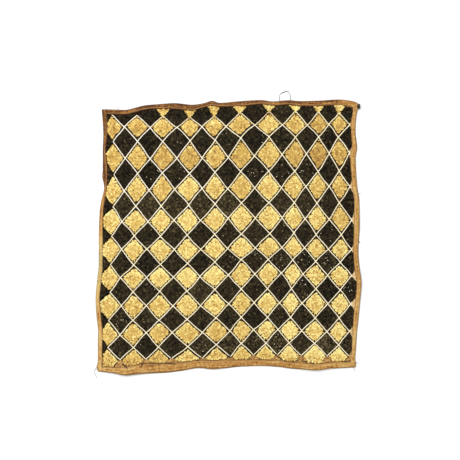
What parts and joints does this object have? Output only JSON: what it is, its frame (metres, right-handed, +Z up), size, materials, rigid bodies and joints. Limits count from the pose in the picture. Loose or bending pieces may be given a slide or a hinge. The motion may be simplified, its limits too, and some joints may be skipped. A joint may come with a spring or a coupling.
{
  "type": "kuba raffia cloth",
  "caption": "Hemmed raffia panel with a traditional lattice of gold and black cut-pile diamonds, stitched lines between them and a thread loop at its top edge.",
  "frame": {"origin": "on the ground plane, under the middle of the cloth's outline", "axes": "+Z up out of the face of the cloth, +Y towards its top edge with the thread loop, +X to the right"},
  "size_m": [0.5832, 0.6248, 0.0067],
  "materials": {
    "raffia": "cut pile and flat stitches on a matt woven raffia ground, with a turned hem",
    "thread": "matt twisted fibre thread"
  },
  "bodies": {
    "root": {"cloth": "raffia", "hanging_loop": "thread"}
  },
  "joints": []
}
